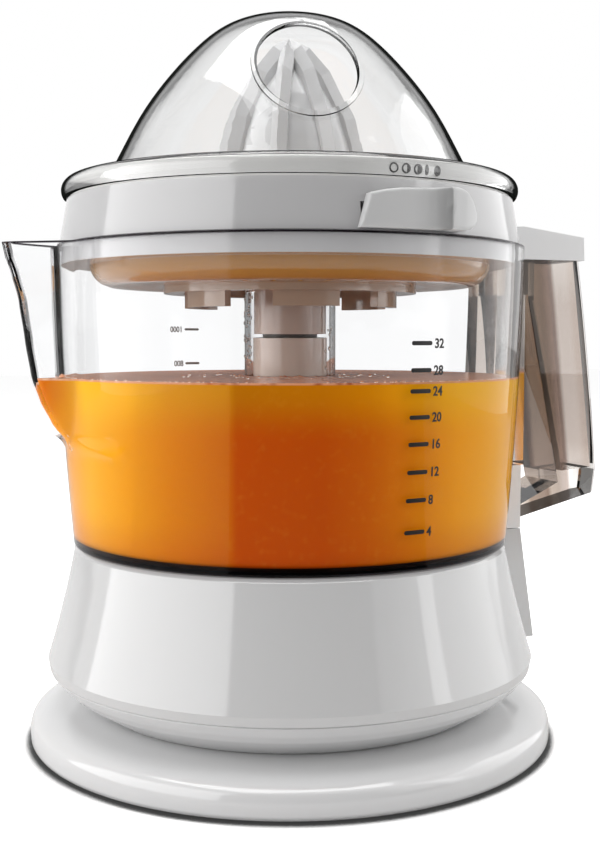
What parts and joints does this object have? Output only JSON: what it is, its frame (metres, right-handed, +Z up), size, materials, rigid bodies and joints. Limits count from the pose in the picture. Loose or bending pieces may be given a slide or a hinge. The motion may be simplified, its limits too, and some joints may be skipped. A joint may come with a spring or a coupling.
{
  "type": "citrus press juicer",
  "caption": "Electric citrus press: ribbed reamer and strainer over a clear jug with spout and smoky handle, on a white motor base with a wide round foot, under a clear dome.",
  "frame": {"origin": "on the floor under the drive shaft, at the centre of the foot disc", "axes": "+Z up along the drive shaft, +X towards the handle, -X towards the spout, -Y the front with the pulp lever"},
  "size_m": [0.2141, 0.176, 0.2397],
  "materials": {
    "white_plastic": "gloss",
    "clear_plastic": "clear gloss",
    "smoky_plastic": "smoky clear gloss",
    "pad_rubber": "matt",
    "screw_steel": "zinc plated",
    "plate_steel": "zinc plated",
    "shaft_steel": "ground",
    "coil_copper": "enamelled wire",
    "rotor_iron": "ferrite",
    "gear_plastic": "acetal",
    "bush_brass": "sintered",
    "switch_plastic": "matt"
  },
  "bodies": {
    "base": {"foot_disc": "white_plastic", "foot_ring": "pad_rubber", "base_pan": "white_plastic", "motor_housing": "white_plastic", "cord_gland": "pad_rubber", "housing_screws": "screw_steel", "disc_screws": "screw_steel", "plate_screws": "screw_steel", "gear_plate": "plate_steel", "motor_can": "plate_steel", "motor_cap": "plate_steel", "stator_coil": "coil_copper", "idler_pin": "shaft_steel", "lower_bush": "bush_brass", "upper_bush": "bush_brass", "switch_body": "switch_plastic"},
    "motor_rotor": {"rotor": "rotor_iron"},
    "idler": {"idler_gear": "gear_plastic"},
    "output_wheel": {"shaft_gear": "gear_plastic", "return_spring": "shaft_steel"},
    "shaft": {"drive_shaft": "shaft_steel", "shaft_clip": "shaft_steel"},
    "switch_button": {"switch_plunger": "switch_plastic"},
    "jug_unit": {"jug": "clear_plastic", "handle": "smoky_plastic", "handle_cap": "white_plastic", "handle_foot": "white_plastic"},
    "strainer": {"collector": "white_plastic"},
    "pulp_control": {"pulp_basket": "white_plastic", "pulp_lever": "white_plastic"},
    "cone_drive": {"drive_sleeve": "white_plastic"},
    "inner_cone": {"small_cone": "white_plastic"},
    "outer_cone": {"large_cone": "white_plastic"},
    "cover": {"dust_cover": "clear_plastic"}
  },
  "joints": [
    {"name": "output_spin", "type": "hinge", "parent": "base", "child": "output_wheel", "pos_m": [0, 0, 0.058], "axis": [0, 0, 1], "continuous": true},
    {"name": "idler_spin", "type": "hinge", "parent": "base", "child": "idler", "pos_m": [0, 0.03125, 0.05], "axis": [0, 0, 1], "continuous": true},
    {"name": "rotor_spin", "type": "hinge", "parent": "base", "child": "motor_rotor", "pos_m": [-0.02853, 0.02198, 0.04], "axis": [0, 0, 1], "continuous": true},
    {"name": "shaft_press", "type": "slide", "parent": "output_wheel", "child": "shaft", "axis": [0, 0, 1], "range_m": [-0.0025, 0], "stiffness_N_per_m": 2000, "springref_m": 0.004, "deforming": ["return_spring"]},
    {"name": "switch_press", "type": "slide", "parent": "base", "child": "switch_button", "axis": [0, 0, 1], "range_m": [-0.0025, 0]},
    {"name": "jug_lift", "type": "slide", "parent": "base", "child": "jug_unit", "axis": [0, 0, 1], "range_m": [0, 0.115]},
    {"name": "collector_lift", "type": "slide", "parent": "jug_unit", "child": "strainer", "axis": [0, 0, 1], "range_m": [0, 0.06]},
    {"name": "pulp_turn", "type": "hinge", "parent": "strainer", "child": "pulp_control", "pos_m": [0, 0, 0.155], "axis": [0, 0, 1], "range_deg": [-12, 0]},
    {"name": "cone_spin", "type": "hinge", "parent": "strainer", "child": "cone_drive", "pos_m": [0, 0, 0.15], "axis": [0, 0, 1], "continuous": true},
    {"name": "cone_press", "type": "slide", "parent": "cone_drive", "child": "inner_cone", "axis": [0, 0, 1], "range_m": [-0.0025, 0]},
    {"name": "large_cone_lift", "type": "slide", "parent": "inner_cone", "child": "outer_cone", "axis": [0, 0, 1], "range_m": [0, 0.07]},
    {"name": "cover_lift", "type": "slide", "parent": "strainer", "child": "cover", "axis": [0, 0, 1], "range_m": [0, 0.14]}
  ],
  "couplings": [
    {"joint": "idler_spin", "follows": "output_spin", "ratio": -2.5714},
    {"joint": "rotor_spin", "follows": "output_spin", "ratio": 7.7143},
    {"joint": "cone_spin", "follows": "output_spin", "ratio": 1},
    {"joint": "switch_press", "follows": "shaft_press", "ratio": 1},
    {"joint": "cone_press", "follows": "shaft_press", "ratio": 1},
    {"joint": "large_cone_lift", "follows": "cover_lift", "ratio": 0.5}
  ]
}
